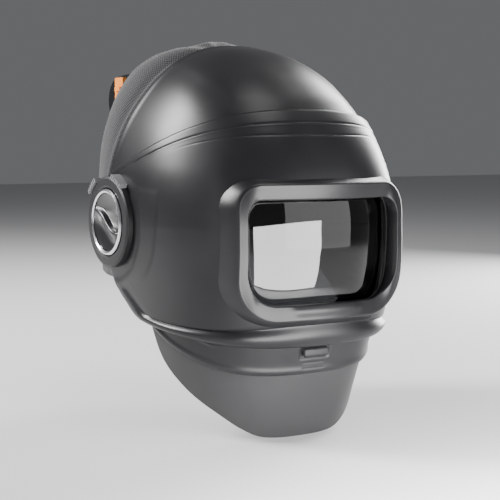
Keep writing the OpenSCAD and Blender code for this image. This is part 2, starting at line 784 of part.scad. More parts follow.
crown_shell();
chin_guard();
throat_bib();
clear_visor();
visor_seal();
visor_frame();
face_seal();
head_cover();
cover_binding();
brow_duct();
brow_deflector();
rear_duct();
duct_gasket();
inlet_collar();
collar_screws();
hub_right();
hub_left();
housing_right();
housing_left();
hub_screws();
grip_tabs();
bumper_pads();
shield_shell();
shield_hub_right();
shield_hub_left();
window_bezel();
filter_frame();
filter_gasket();
filter_clips();
knob_right();
knob_left();
ring_right();
ring_left();
axle_right();
axle_left();
side_arm_right();
side_arm_left();
headband();
sweatband();
strap_front();
strap_rear();
strap_studs();
crown_pad();
cradle();
nape_pad();
ratchet_case();
ratchet_lid();
ratchet_dial();
rack_right();
rack_left();
flow_slider();
damper_flap();
inlet_swivel();
inlet_ring();
chin_button();
button_spring();
button_bracket();
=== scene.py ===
# %% [markdown]
# # A powered air headtop, from its frame to a finished look
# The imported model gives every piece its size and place, so this script never fits anything by eye.
# It loads that model as a fixed frame, rebuilds the moulded shells, the cloth and the pads where
# they need a finer surface, gives every piece a finish, and lights the result on a pale floor.

# %% Load the frame
import math

import bpy
import numpy as np
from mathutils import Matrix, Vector


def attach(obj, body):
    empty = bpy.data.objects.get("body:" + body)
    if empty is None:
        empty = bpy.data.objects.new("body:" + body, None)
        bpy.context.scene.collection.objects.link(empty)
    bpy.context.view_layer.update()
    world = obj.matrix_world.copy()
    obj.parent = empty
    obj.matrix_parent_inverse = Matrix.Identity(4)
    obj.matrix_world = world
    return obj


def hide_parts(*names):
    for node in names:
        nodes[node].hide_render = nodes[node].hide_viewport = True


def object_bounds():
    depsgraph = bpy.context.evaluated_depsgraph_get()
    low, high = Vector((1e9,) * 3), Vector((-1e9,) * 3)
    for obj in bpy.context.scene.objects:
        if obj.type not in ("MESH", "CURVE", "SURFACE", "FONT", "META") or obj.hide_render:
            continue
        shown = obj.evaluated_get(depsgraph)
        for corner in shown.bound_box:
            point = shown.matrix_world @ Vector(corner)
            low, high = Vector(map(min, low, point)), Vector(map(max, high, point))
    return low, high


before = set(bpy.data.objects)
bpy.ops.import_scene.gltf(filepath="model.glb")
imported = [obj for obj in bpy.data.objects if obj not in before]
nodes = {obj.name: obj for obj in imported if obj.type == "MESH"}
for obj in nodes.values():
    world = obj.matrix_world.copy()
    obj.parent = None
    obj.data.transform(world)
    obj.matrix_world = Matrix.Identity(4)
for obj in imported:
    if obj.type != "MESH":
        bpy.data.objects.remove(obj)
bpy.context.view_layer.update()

# %% [markdown]
# ## The camera
# The headtop is seen from its wearer's right, a little above the pivots, through a moderate tele
# lens, so that the near side of the window isn't stretched. The camera looks past the pivot axis by
# a few centimetres, which puts the whole headtop into the frame without shifting the lens.

# %% Place the camera
MM = 0.001
LOOK_AZIMUTH = math.radians(-32)
LOOK_UP = math.radians(5)
DISTANCE = 1.2
away = Vector((math.sin(LOOK_AZIMUTH) * math.cos(LOOK_UP), -math.cos(LOOK_AZIMUTH) * math.cos(LOOK_UP),
    math.sin(LOOK_UP)))
side = Vector((math.cos(LOOK_AZIMUTH), math.sin(LOOK_AZIMUTH), 0))
rise = away.cross(side)
target = side * 0.0221 - rise * 0.0310
camera_data = bpy.data.cameras.new("camera")
camera_data.lens = 90.7
camera_data.sensor_width = 36
camera = bpy.data.objects.new("camera", camera_data)
bpy.context.scene.collection.objects.link(camera)
camera.location = target + away * DISTANCE
camera.rotation_euler = away.to_track_quat("Z", "Y").to_euler()
bpy.context.scene.camera = camera

# %% [markdown]
# ## The form behind every shell
# Shield, inner shell, chin guard, bib, visor and cover are layers of one form. Its level sections
# are squared ovals whose half width, front reach and rear reach change with height. Above the
# pivots each closes over the crown along its own curve, and below them they draw in along a short
# table. The numbers are the frame's own, in millimetres.

# %% The form's sizes
HALF_WIDTH, FRONT, REAR, CROWN, CHIN = 118.0, 164.0, 112.0, 161.0, 187.0
CENTRE_Y = -6.0
COVER_BULGE = 24.0
CROWN_POWER = np.array([2.4, 1.95, 2.2])
DRAW_DEPTH = np.array([0.0, 25, 55, 85, 115, 150, 187])
DRAWN = np.array([[0.0, 0, 0], [0.5, 0, 1], [2, 3, 4], [5, 11, 8], [9, 20, 12], [16, 29, 18], [24, 37, 26]])
DRAWN_ENDS = np.vstack([DRAWN[1], DRAWN, 2 * DRAWN[-1] - DRAWN[-2]])
SHIELD_WALL, SHIELD_GAP, SHELL_WALL = 2.6, 1.5, 2.8
SHELL_OUT = -SHIELD_WALL - SHIELD_GAP
SHELL_IN = SHELL_OUT - SHELL_WALL
BIB_OUT = SHELL_IN - 0.3
VISOR_OUT = SHELL_IN - 1.7

# %% Reach of the form at a height
def drawn_in(depth):
    """How far width, front and rear have drawn in at a depth below the pivots."""
    row = np.clip(np.searchsorted(DRAW_DEPTH, depth, side="right") - 1, 0, len(DRAW_DEPTH) - 2)
    t = ((depth - DRAW_DEPTH[row]) / (DRAW_DEPTH[row + 1] - DRAW_DEPTH[row]))[..., None]
    a, b, c, d = (DRAWN_ENDS[row + k] for k in range(4))
    return 0.5 * (2 * b + (c - a) * t + (2 * a - 5 * b + 4 * c - d) * t**2 + (3 * b - a - 3 * c + d) * t**3)


def reach(z, off, back=0.0):
    """Half width, front reach and rear reach at the heights z, as three arrays."""
    base = np.array([HALF_WIDTH, FRONT, REAR + back]) + off
    share = np.clip(z / (CROWN + off), 0, 1)[..., None]
    over = base * np.clip(1 - share**CROWN_POWER, 0, None) ** (1 / CROWN_POWER)
    under = base - drawn_in(np.clip(-z, 0, CHIN + 20))
    return np.moveaxis(np.where(z[..., None] >= 0, over, under), -1, 0)


def sharpness(z):
    """How square the front half of a section is."""
    return 2.9 - np.where(z >= 0, 0.6 * np.clip(z / CROWN, 0, 1), 0.3 * np.clip(-z / CHIN, 0, 1))


def level(p, off, back=0.0):
    """Under 1 inside the offset form, over 1 outside it."""
    width, ahead, behind = reach(p[..., 2], off, back)
    along = p[..., 1] - CENTRE_Y
    power = np.where(along < 0, sharpness(p[..., 2]), 2.2)
    length = np.where(along < 0, ahead, behind)
    return ((np.abs(p[..., 0]) / np.maximum(width, 0.01)) ** power
        + (np.abs(along) / np.maximum(length, 0.01)) ** power)


def front_y(x, z, off):
    """Y of the form's front face at a place across and up."""
    width, ahead, _ = reach(z, off)
    power = sharpness(z)
    across = np.clip(np.abs(x) / width, 0, 0.999)
    return CENTRE_Y - ahead * (1 - across**power) ** (1 / power)


# %% [markdown]
# ## Rings between two borders
# A shell's mesh should follow its own borders, or their edges come out as stairs. Every shell here
# is a set of rings: straight lines of sight leave one centre, each is followed over the surface from
# the inner border to the outer one, and the points along it become a column of the mesh. The
# primitive that carries them is Blender's grid, and its first and last columns are merged.

# %% Cast lines of sight onto a surface
def direction(turn, spread, facing):
    """Unit directions: spread is the angle off the facing axis (-1 front, 1 rear), turn goes round it."""
    return np.stack([np.sin(spread) * np.cos(turn), facing * np.cos(spread), np.sin(spread) * np.sin(turn)], -1)


def cast(centre, ray, outside):
    """The points where the rays leave a body, found by halving the distance again and again."""
    near = np.zeros(ray.shape[:-1])
    far = np.full(ray.shape[:-1], 330.0)
    for _ in range(26):
        middle = (near + far) / 2
        out = outside(centre + ray * middle[..., None])
        far = np.where(out, middle, far)
        near = np.where(out, near, middle)
    return centre + ray * near[..., None]


def outside_form(off, back=0.0):
    return lambda p: (level(p, off, back) > 1) | (p[..., 2] > CROWN + off)


def border(centre, turn, facing, outside, within, start):
    """For each line of sight, the spread at which the surface leaves a region."""
    steps = start[:, None] + np.linspace(0, 1, 150) * (2.75 - start[:, None])
    kept = within(cast(centre, direction(turn[:, None], steps, facing), outside))
    first = np.where(kept.all(1), steps.shape[1] - 1, np.argmin(kept, 1))
    rows = np.arange(len(turn))
    low, high = steps[rows, np.maximum(first - 1, 0)], steps[rows, first]
    for _ in range(12):
        middle = (low + high) / 2
        keep = within(cast(centre, direction(turn, middle, facing), outside))
        low = np.where(keep, middle, low)
        high = np.where(keep, high, middle)
    return low


# %% Curves in the side view
def smooth(points, count=12, closed=False):
    """Points along a smooth curve through the given ones."""
    p = np.array(points, float)
    ends = (p[-1], p[0], p[1]) if closed else (2 * p[0] - p[1], 2 * p[-1] - p[-2], None)
    chain = np.vstack([ends[0], p, ends[1], ends[2]]) if closed else np.vstack([ends[0], p, ends[1]])
    t = np.linspace(0, 1, count, endpoint=False)[:, None]
    parts = [0.5 * (2 * b + (c - a) * t + (2 * a - 5 * b + 4 * c - d) * t**2 + (3 * b - a - 3 * c + d) * t**3)
        for a, b, c, d in zip(chain, chain[1:], chain[2:], chain[3:])]
    return np.vstack(parts if closed else parts + [p[-1:]])


def in_outline(points, outline):
    """Which points (N, 2) lie inside a closed outline."""
    a, b = points[..., 0], points[..., 1]
    hit = np.zeros(a.shape, bool)
    for (ay, az), (by, bz) in zip(outline, np.roll(outline, -1, 0)):
        if az != bz:
            hit ^= ((az > b) != (bz > b)) & (a < (by - ay) * (b - az) / (bz - az) + ay)
    return hit


def in_side_view(outline):
    return lambda p: in_outline(p[..., 1:], outline)


# %% Columns of points between two borders
RIM_STEPS = np.array([0.0, 0.12, 0.35, 0.7, 1.15, 1.8])


def spacing(length, rows, inner_rim, outer_rim):
    """Distances along each column, crowded towards the rims so that their edges can be rounded."""
    head = RIM_STEPS if inner_rim else np.array([0.0])
    tail = RIM_STEPS if outer_rim else np.array([0.0])
    middle = np.linspace(0, 1, rows - len(head) - len(tail) + 2)[1:-1]
    start, stop = head[-1], length - tail[-1]
    inner = start + (stop - start)[:, None] * middle
    return np.hstack([np.tile(head, (len(length), 1)), inner, length[:, None] - tail[::-1]])


def columns(centre, turn, facing, outside, spread_in, spread_out, rows, inner_rim=True, outer_rim=True):
    """Points (rows, columns, 3) on the surface, and their distances from both borders."""
    share = np.linspace(0, 1, 80)
    spread = spread_in[:, None] + share * (spread_out - spread_in)[:, None]
    trail = cast(centre, direction(turn[:, None], spread, facing), outside)
    run = np.hstack([np.zeros((len(turn), 1)), np.cumsum(np.linalg.norm(np.diff(trail, axis=1), axis=2), 1)])
    want = spacing(run[:, -1], rows, inner_rim, outer_rim)
    angle = np.array([np.interp(w, r, s) for w, r, s in zip(want, run, spread)])
    points = cast(centre, direction(turn[:, None], angle, facing), outside)
    return points.transpose(1, 0, 2), want.T, (run[:, -1:] - want).T


def outward(p, off, back=0.0):
    """Unit normals of the form at the points."""
    step = 0.25
    slope = np.stack([level(p + step * axis, off, back) - level(p - step * axis, off, back)
        for axis in np.eye(3)], -1)
    return slope / np.maximum(np.linalg.norm(slope, axis=-1, keepdims=True), 1e-9)


def rim_drop(distance, radius):
    """How far a rounded rim falls below the face at a distance from its edge."""
    short = np.clip(radius - distance, 0, radius)
    return -(radius - np.sqrt(radius**2 - short**2))


# %% [markdown]
# ## Meshes from grids
# The grid primitive is added with as many cells as the surface has points. Its points then take
# their places, doubles along the seam are merged, and Solidify gives the wall its thickness.

# %% Mesh helpers
def deselect():
    if bpy.context.object and bpy.context.object.mode != "OBJECT":
        bpy.ops.object.mode_set(mode="OBJECT")
    bpy.ops.object.select_all(action="DESELECT")


def pick(obj):
    deselect()
    obj.select_set(True)
    bpy.context.view_layer.objects.active = obj
    return obj


def apply_modifier(obj, kind, **settings):
    pick(obj)
    modifier = obj.modifiers.new(kind.title(), kind)
    for key, value in settings.items():
        setattr(modifier, key, value)
    bpy.ops.object.modifier_apply(modifier=modifier.name)


def grid_piece(name, points, closed=True, tube=False, inside_out=False, uv=None):
    """A grid primitive whose points take the given places, in millimetres."""
    rows = np.concatenate([points, points[:1]]) if tube else points
    both = np.concatenate([rows, rows[:, :1]], 1) if closed else rows
    deselect()
    bpy.ops.mesh.primitive_grid_add(x_subdivisions=both.shape[1] - 1, y_subdivisions=both.shape[0] - 1)
    obj = bpy.context.object
    obj.name = obj.data.name = name
    obj.data.vertices.foreach_set("co", (both * MM).astype(np.float32).ravel())
    if uv is not None:
        flat = (np.concatenate([uv, uv[:, :1]], 1) if closed else uv).reshape(-1, 2)
        corner = np.empty(len(obj.data.loops), np.int32)
        obj.data.loops.foreach_get("vertex_index", corner)
        obj.data.uv_layers.active.data.foreach_set("uv", flat[corner].astype(np.float32).ravel())
    bpy.ops.object.mode_set(mode="EDIT")
    bpy.ops.mesh.select_all(action="SELECT")
    bpy.ops.mesh.remove_doubles(threshold=2e-6)
    if inside_out:
        bpy.ops.mesh.flip_normals()
    bpy.ops.object.mode_set(mode="OBJECT")
    return obj


def walled(obj, wall, angle=35):
    """Gives a surface its wall, on the side away from its normals, and shades it smooth."""
    apply_modifier(obj, "SOLIDIFY", thickness=wall * MM, offset=-1)
    pick(obj)
    bpy.ops.object.shade_smooth_by_angle(angle=math.radians(angle))
    return obj


def finish_piece(obj, body, *replaced):
    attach(obj, body)
    if replaced:
        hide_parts(*replaced)
    print(obj.name, len(obj.data.polygons), "faces")
    return obj


# %% [markdown]
# ## Finishes
# Shader maths is written as Python expressions on sockets. The wrapper below turns `a * b + 1` into
# the Math nodes that compute it, and one method adds any other node.

# %% The shader wrapper
class Socket:
    """A socket, or a number, that can be used in Python arithmetic."""

    def __init__(self, tree, value):
        self.tree, self.value = tree, value

    def math(self, operation, *others):
        node = self.tree.nodes.new("ShaderNodeMath")
        node.operation = operation
        for slot_in, source in zip(node.inputs, (self, *others)):
            put(self.tree, slot_in, source)
        return Socket(self.tree, node.outputs[0])

    def __add__(self, other):
        return self.math("ADD", other)

    def __sub__(self, other):
        return self.math("SUBTRACT", other)

    def __rsub__(self, other):
        return Socket(self.tree, other).math("SUBTRACT", self)

    def __mul__(self, other):
        return self.math("MULTIPLY", other)

    __radd__, __rmul__ = __add__, __mul__


def put(tree, slot_in, source):
    """Links a socket, or sets a plain value."""
    value = source.value if isinstance(source, Socket) else source
    if isinstance(value, bpy.types.NodeSocket):
        tree.links.new(value, slot_in)
    else:
        slot_in.default_value = value


class Finish:
    """A material being made, with its Principled shader."""

    def __init__(self, name, color, roughness, **fixed):
        self.material = bpy.data.materials.new(name)
        self.material.use_nodes = True
        self.tree = self.material.node_tree
        self.shader = self.tree.nodes["Principled BSDF"]
        self.set("Base Color", (*color, 1))
        self.set("Roughness", roughness)
        for key, value in fixed.items():
            self.set(key.replace("_", " "), value)

    def set(self, key, source):
        put(self.tree, self.shader.inputs[key], source)

    def node(self, kind, settings=(), output=0, **sockets):
        """Adds a node: its settings first, then values or links by socket name."""
        node = self.tree.nodes.new("ShaderNode" + kind)
        for key, value in dict(settings).items():
            setattr(node, key, value)
        for key, source in sockets.items():
            put(self.tree, node.inputs[key.replace("_", " ")], source)
        return Socket(self.tree, node.outputs[output])

    def place(self, use_uv=False):
        node = self.tree.nodes.new("ShaderNodeTexCoord")
        return Socket(self.tree, node.outputs["UV" if use_uv else "Object"])

    def noise(self, scale, detail=2.0, vector=None):
        return self.node("TexNoise", Vector=vector or self.place(), Scale=scale, Detail=detail)

    def ramp(self, source, *stops):
        """A colour ramp with stops of (place, grey level or colour)."""
        node = self.tree.nodes.new("ShaderNodeValToRGB")
        band = node.color_ramp.elements
        while len(band) < len(stops):
            band.new(0.5)
        for element, (where, tone) in zip(band, stops):
            element.position = where
            element.color = (*tone, 1) if isinstance(tone, tuple) else (tone, tone, tone, 1)
        put(self.tree, node.inputs["Fac"], source)
        return Socket(self.tree, node.outputs["Color"])

    def mix(self, factor, first, second):
        node = self.tree.nodes.new("ShaderNodeMix")
        node.data_type = "RGBA"
        for place, source in ((0, factor), (6, first), (7, second)):
            put(self.tree, node.inputs[place], source)
        return Socket(self.tree, node.outputs[2])

    def bump(self, height, distance, strength=1.0):
        """Height in the range 0 to 1, times a distance in millimetres."""
        normal = self.node("Bump", Height=height, Distance=distance * MM, Strength=strength)
        self.set("Normal", normal)


# %% [markdown]
# ### Moulded plastics
# The shells are moulded in black nylon: a fine spark-eroded grain, a satin gloss that handling has
# polished unevenly, and a trace of dust. Two noises at different scales do that: a very fine one
# for the grain's height, and a broad one that moves the roughness and the tone slightly.

# %% Satin plastic
def satin(name, tone, roughness, grain=0.02, grain_scale=1500.0, wear=0.05, coat=0.0, gloss=0.36):
    f = Finish(name, tone, roughness, Coat_Weight=coat, Coat_Roughness=0.25, Specular_IOR_Level=gloss)
    broad = f.noise(14.0, 4.0)
    fine = f.noise(grain_scale, 2.0)
    f.set("Roughness", broad * (2 * wear) + (roughness - wear) + fine * 0.04)
    dusty = tuple(min(1.0, c * 1.25 + 0.004) for c in tone)
    f.set("Base Color", f.mix(f.ramp(broad, (0.45, 0.0), (0.8, 1.0)), (*tone, 1), (*dusty, 1)))
    f.bump(fine, grain)
    return f.material


SHELL = satin("shell black", (0.011, 0.011, 0.012), 0.34)
SHIELD = satin("shield black", (0.008, 0.008, 0.009), 0.32)
BIB = satin("bib gray", (0.03, 0.03, 0.031), 0.4, grain=0.03)
DARK = satin("dark fittings", (0.01, 0.01, 0.011), 0.45)
BLACK_GLOSS = satin("gloss black", (0.005, 0.005, 0.006), 0.12, grain=0.004, wear=0.02, coat=0.4, gloss=0.5)
KNOB = satin("knob black", (0.006, 0.006, 0.007), 0.27, grain=0.006, wear=0.03, coat=0.25, gloss=0.5)
STRAP = satin("strap nylon", (0.035, 0.035, 0.038), 0.5, grain=0.03)
TAB = satin("tab gray", (0.16, 0.16, 0.164), 0.5, grain=0.03)
ORANGE = satin("orange plastic", (0.85, 0.27, 0.04), 0.35, grain=0.01)

# %% [markdown]
# ### Metals, rubber and glass
# The knob rings are satin anodised, so fine turning marks run round the pivot axis: the distance
# from that axis goes through a sine. The clear visor is polycarbonate with a hard coat. Its base colour is
# nearly black, a painted shade that makes the inside of the headtop look dark through it.

# %% Metal, rubber and clear finishes
def turned_metal():
    f = Finish("bright ring", (0.78, 0.78, 0.8), 0.22, Metallic=1.0)
    apart = f.node("SeparateXYZ", Vector=f.place())
    y = Socket(f.tree, apart.value.node.outputs["Y"])
    z = Socket(f.tree, apart.value.node.outputs["Z"])
    radius = (y * y + z * z).math("SQRT")
    marks = (radius * 9000.0).math("SINE")
    f.set("Roughness", marks * 0.03 + f.noise(60.0) * 0.08 + 0.17)
    f.bump(marks * 0.5 + 0.5, 0.006)
    return f.material


def steel():
    f = Finish("steel", (0.55, 0.55, 0.57), 0.3, Metallic=1.0)
    f.set("Roughness", f.noise(400.0, 4.0) * 0.2 + 0.22)
    return f.material


def rubber():
    f = Finish("black rubber", (0.018, 0.018, 0.018), 0.75)
    f.set("Roughness", f.noise(30.0, 3.0) * 0.2 + 0.65)
    f.bump(f.noise(900.0), 0.03)
    return f.material


def visor_plastic_painted_dark():
    # Painted shade: the near-black base colour tints all light that passes through the visor, so the headtop's
    # inside and the floor beyond it look dark.
    f = Finish("clear visor", (0.025, 0.026, 0.028), 0.03, Transmission_Weight=1.0, IOR=1.4, Coat_Weight=1.0,
        Coat_Roughness=0.01, Coat_IOR=1.5)
    f.set("Roughness", f.ramp(f.noise(22.0, 5.0), (0.4, 0.015), (0.9, 0.05)))
    return f.material


RING = turned_metal()
STEEL = steel()
RUBBER = rubber()
VISOR_PAINTED_DARK = visor_plastic_painted_dark()

# %% [markdown]
# ### Cloth and padding
# The cover is a plain weave of gray flame-resistant yarn. Two crossed sines give the yarns'
# over-and-under height, and a fine noise breaks their evenness, in the piece's own UV map, whose
# unit is a millimetre of cloth. The pads are knitted over foam, with a softer and finer loop.

# %% Woven and knitted finishes
def woven(name, tone, pitch, height, use_uv=True, sheen=0.35):
    f = Finish(name, tone, 0.88, Sheen_Weight=sheen, Sheen_Roughness=0.4)
    where = f.place(use_uv)
    scale = 1.0 if use_uv else 1000.0
    apart = f.node("SeparateXYZ", Vector=where)
    u = Socket(f.tree, apart.value.node.outputs["X"])
    v = Socket(f.tree, apart.value.node.outputs["Y" if use_uv else "Z"])
    turn = 2 * math.pi / pitch * scale
    warp = (u * turn).math("SINE")
    weft = (v * turn).math("SINE")
    yarn = warp * weft * 0.5 + 0.5
    fuzz = f.noise(900.0, 3.0)
    blotch = f.noise(25.0, 3.0)
    light = tuple(min(1.0, c * 1.45) for c in tone)
    dark = tuple(c * 0.6 for c in tone)
    mixed = f.mix(yarn * 0.6 + fuzz * 0.4, (*dark, 1), (*light, 1))
    f.set("Base Color", f.mix(f.ramp(blotch, (0.35, 0.0), (0.75, 0.5)), mixed, (*tone, 1)))
    f.bump(yarn * 0.7 + fuzz * 0.3, height)
    return f.material


CLOTH = woven("gray cloth", (0.05, 0.05, 0.052), 2.2, 0.35, sheen=0.2)
SEAL_CLOTH = woven("seal cloth", (0.012, 0.012, 0.013), 1.8, 0.25, use_uv=False)
KNIT = woven("pad knit", (0.07, 0.07, 0.075), 1.4, 0.25, use_uv=False)
STRAP_BINDING = woven("cloth binding", (0.05, 0.05, 0.052), 1.2, 0.2, use_uv=False)


def paint(material, *names):
    """Gives carried-over pieces of the frame a finish."""
    for name in names:
        data = nodes[name].data
        data.materials.clear()
        data.materials.append(material)


def dress(obj, material):
    obj.data.materials.clear()
    obj.data.materials.append(material)
    return obj


# %% [markdown]
# ## Outlines in the side view
# Each shell's border is a curve in the side view, fore and aft against up. The hard shell ends
# behind along a curve that climbs from the jaw past the pivot and over the crown.

# %% Outlines
EDGE = smooth([(-38, -82), (-24, -71), (-8, -60), (12, -42), (22, -20), (26, 10), (22, 38), (16, 60), (4, 90),
    (-6, 115), (-12, 140), (-14, 156), (-15, 175)])
CROWN_OUTLINE = np.vstack([EDGE, [(-15, 260), (-300, 260), (-300, -82), (-60, -82)]])
SHIELD_OUTLINE = np.vstack([smooth([(8, 42.8), (-40, 60.4), (-90, 79.9), (-137, 98.7)]),
    [(-300, 162), (-300, -118)],
    smooth([(-150, -98), (-95, -90), (-48, -83.5), (-34, -79), (-20, -69), (-4, -57), (8, -44)])])
CHIN_LOW = smooth([(-39, -84.5), (-48, -89), (-80, -107), (-130, -125.5), (-170, -129)])
BIB_REAR = smooth([(-43, -87), (-55, -119), (-76, -142), (-102, -163), (-114, -176),
    (-121, -183.5), (-130, -187)])
WINDOW_HALF, WINDOW_LOW, WINDOW_HIGH = 76.5, -64.0, 24.0
CORNER_TOP, CORNER_LOW, BEZEL_RADIUS = 14.0, 30.0, 200.0
SIGHT = np.array([0.0, -10.0, -20.0])
TURNS = np.linspace(0, 2 * math.pi, 360, endpoint=False)


def in_window(grow, up=0.0):
    """Front-view test for a rounded rectangle round the window opening."""
    half, low, high = WINDOW_HALF + grow, WINDOW_LOW - grow, WINDOW_HIGH + grow + up

    def test(p):
        corner = np.where(p[..., 2] > -20, CORNER_TOP, CORNER_LOW) + grow
        over_x = np.maximum(np.abs(p[..., 0]) - (half - corner), 0)
        over_z = np.maximum(np.maximum(p[..., 2] - (high - corner), (low + corner) - p[..., 2]), 0)
        return (np.hypot(over_x, over_z) < corner) & (p[..., 1] < -20)

    return test


# %% [markdown]
# ## The shield
# The shield carries its details as shallow relief: a rolled lip along its lower edge, a reveal line
# below its upper edge, a raised panel round the pivot, and a dished brow panel over the window. Each
# is a smooth height, added along the surface's own normal.

# %% Relief of the shield
def bump_at(distance, width):
    return np.exp(-(distance / width) ** 2)


def step(x, width):
    return 1 / (1 + np.exp(-np.clip(x / width, -40, 40)))


def away_from(points, curve):
    """Distance in the side view from a curve."""
    flat = points[..., 1:].reshape(-1, 2)
    best = np.full(len(flat), 1e9)
    for a, b in zip(curve, curve[1:]):
        line = b - a
        share = np.clip((flat - a) @ line / (line @ line), 0, 1)[:, None]
        best = np.minimum(best, np.linalg.norm(flat - a - share * line, axis=1))
    return best.reshape(points.shape[:-1])


def outside_pivot(y, z, radius, width):
    """Close to 0 within a radius of the pivots, close to 1 outside it."""
    return step(np.hypot(y, z) - radius, width)


def shield_relief(p, d_window, d_edge):
    x, y, z = np.moveaxis(p, -1, 0)
    front = step(-y - 60, 12)
    low_edge = step(-z - 40, 8)
    lip = 3.4 * bump_at(d_edge - 6.5, 7.5) * low_edge * (0.35 + 0.65 * front)
    lip -= 1.8 * bump_at(d_edge - 19, 5.5) * low_edge * front
    lip *= outside_pivot(y, z, 60, 2)
    high_edge = step(z - 30, 6) * step(-y - 8, 6)
    reveal = -0.55 * bump_at(d_edge - 13.5, 0.9) * high_edge
    reveal += -0.7 * step(d_edge - 14.5, 0.8) * high_edge * step(z - 52, 4) * 0.6
    second = -0.4 * bump_at(d_edge - 26, 0.9) * high_edge * step(-y - 110, 8)
    panel_curve = smooth([(14, -58), (-10, -59), (-34, -54), (-59, -44), (-72, -26),
        (-77, -6), (-79, 14), (-78, 30)])
    inside_panel = in_outline(p[..., 1:], np.vstack([panel_curve, [(60, 30), (60, -58)]]))
    far = away_from(p, panel_curve)
    fade = step(22 - z, 6)
    panel = 0.9 * np.where(inside_panel, step(far, 1.5) * 2 - 1, 0) * fade * outside_pivot(y, z, 53, 1.5)
    return lip + reveal + second + panel


def rings(name, outline, off, wall, rows, relief=None, hole=None, back=0.0, turns=TURNS, rim=1.1):
    """A shell between a front-view opening and a side-view outline, or from the centre outwards."""
    outside = outside_form(off, back)
    start = np.full(len(turns), 0.02)
    inner = border(SIGHT, turns, -1, outside, hole, start) if hole else start
    outer = border(SIGHT, turns, -1, outside, in_side_view(outline), inner + 0.01)
    points, d_in, d_out = columns(SIGHT, turns, -1, outside, inner, outer, rows, inner_rim=bool(hole))
    normal = outward(points, off, back)
    height = rim_drop(d_out, rim)
    if hole:
        height = height + rim_drop(d_in, rim)
    if relief:
        height = height + relief(points, d_in, d_out)
    return walled(grid_piece(name, points + normal * height[..., None]), wall)


# %% Make the shield
shield = rings("shield_skin", SHIELD_OUTLINE, 0.0, SHIELD_WALL, 130, shield_relief, in_window(6.6))
finish_piece(dress(shield, SHIELD), "shield", "shield_shell")

# %% [markdown]
# ## The window bezel
# The bezel stands out of the shield like a shallow picture frame. Its section is swept round the
# opening: up the outer slope, over the crest, down a broad chamfer to the opening and back through
# the shield. At both sides there is no chamfer, and the frame stays at its full height up to the
# opening's edge. Its front follows a flatter curve than the shield behind it.

# %% Sweep the bezel
def window_path(across, upright, round_by):
    """Points round the window opening, grown across and upright, in the front view."""
    top, low = CORNER_TOP + round_by, CORNER_LOW + round_by
    half = WINDOW_HALF + across
    up, down = WINDOW_HIGH + upright, WINDOW_LOW - upright
    hubs = [(half - top, up - top, top), (top - half, up - top, top), (low - half, down + low, low),
        (half - low, down + low, low)]
    arc = np.linspace(0, math.pi / 2, 30)
    parts = []
    for k, (cx, cz, r) in enumerate(hubs):
        a = arc + k * math.pi / 2
        bend = np.stack([cx + r * np.cos(a), cz + r * np.sin(a)], 1)
        nx, nz, nr = hubs[(k + 1) % 4]
        turned = (k + 1) * math.pi / 2
        stop = np.array([nx + nr * math.cos(turned), nz + nr * math.sin(turned)])
        parts += [bend, np.linspace(bend[-1], stop, 70 if k % 2 == 0 else 36)[1:-1]]
    return np.vstack(parts)


def swept(name, section):
    """Each row is growth across, growth upright, height, flatness and how far corners are rounded more."""
    loops = []
    for across, upright, off, flat, round_by in section:
        x, z = window_path(across, upright, round_by).T
        raised = 0
        if flat:
            raised = LEDGE_RISE * step(34 - np.abs(x), 1.6) * step(-z - 30, 3) * bump_at(upright - 5.0, 4.5)
        if flat == 1 and across < CREST_ACROSS and off > 1:
            beside = step(np.abs(x) - WINDOW_HALF + 7, 2.5)
            raised = raised + beside * (SIDE_HEIGHT - 1.3 * bump_at(across, 0.35) - off)
        curved = front_y(x, z, off)
        flatter = front_y(0 * x, z, off) + x**2 / (2 * BEZEL_RADIUS)
        loops.append(np.stack([x, (1 - flat) * curved + flat * flatter - raised, z], 1))
    return grid_piece(name, np.array(loops), tube=True)


# the small ledge in the middle of the lower edge, the crest's place and the sides' height
LEDGE_RISE, CREST_ACROSS, SIDE_HEIGHT = 1.6, 6.6, 7.5
OUTER = smooth([(17.6, 21.5, -0.5, 0, 15), (16.4, 20.2, 0.2, 0, 14), (14.2, 18.2, 1.6, 0.22, 12.5),
    (11, 15.8, 4.4, 0.72, 10), (9, 14.4, 6.4, 0.95, 8.4), (7.8, 13.4, 7.3, 1, 7.4), (6.6, 12.6, 7.6, 1, 6.6),
    (5.4, 11.6, 7.3, 1, 5.4), (4.4, 10.2, 6.7, 1, 4.6), (2.8, 6, 5.1, 1, 3), (1.5, 2.6, 3.7, 1, 1.6),
    (0.6, 0.9, 2.9, 1, 0.6), (0.1, 0.15, 1.9, 1, 0.1)], 4)
BACK = np.array([(0, 0, 0.8, 1, 0), (0, 0, 0, 0.5, 0), (0, 0, -2.2, 0, 0), (0.4, 0.4, -2.6, 0, 0.4),
    (5.5, 5.5, -2.6, 0, 5.5), (5.9, 5.9, -2.2, 0, 5.9), (5.9, 5.9, -0.8, 0, 5.9)])
bezel = swept("bezel", np.vstack([OUTER, BACK]))
pick(bezel)
bpy.ops.object.shade_smooth_by_angle(angle=math.radians(50))
finish_piece(dress(bezel, SHIELD), "shield", "window_bezel")

# %% [markdown]
# ## The inner shell, the chin guard and the bib
# The crown shell shows above the shield. A raised plateau runs along its middle, with a soft step on
# both sides and across the brow. Chin guard and bib are the same form, cut by other outlines.

# %% Make the crown shell
def crown_relief(p, d_in, d_out):
    x, y, z = np.moveaxis(p, -1, 0)
    half = 66 - 12 * np.clip((-y - 70) / 60, 0, 1)
    inside = np.minimum(half - np.abs(x), (z - 104) * 0.9)
    return 0.8 * (step(inside, 2.0) - 0.5) * step(z - 60, 8) + 0.9 * bump_at(d_out - 4.5, 4.0) * step(z - 20, 8)


crown = rings("crown_skin", CROWN_OUTLINE, SHELL_OUT, SHELL_WALL, 120, crown_relief, in_window(9, 9))
finish_piece(dress(crown, SHELL), "helmet", "crown_shell")


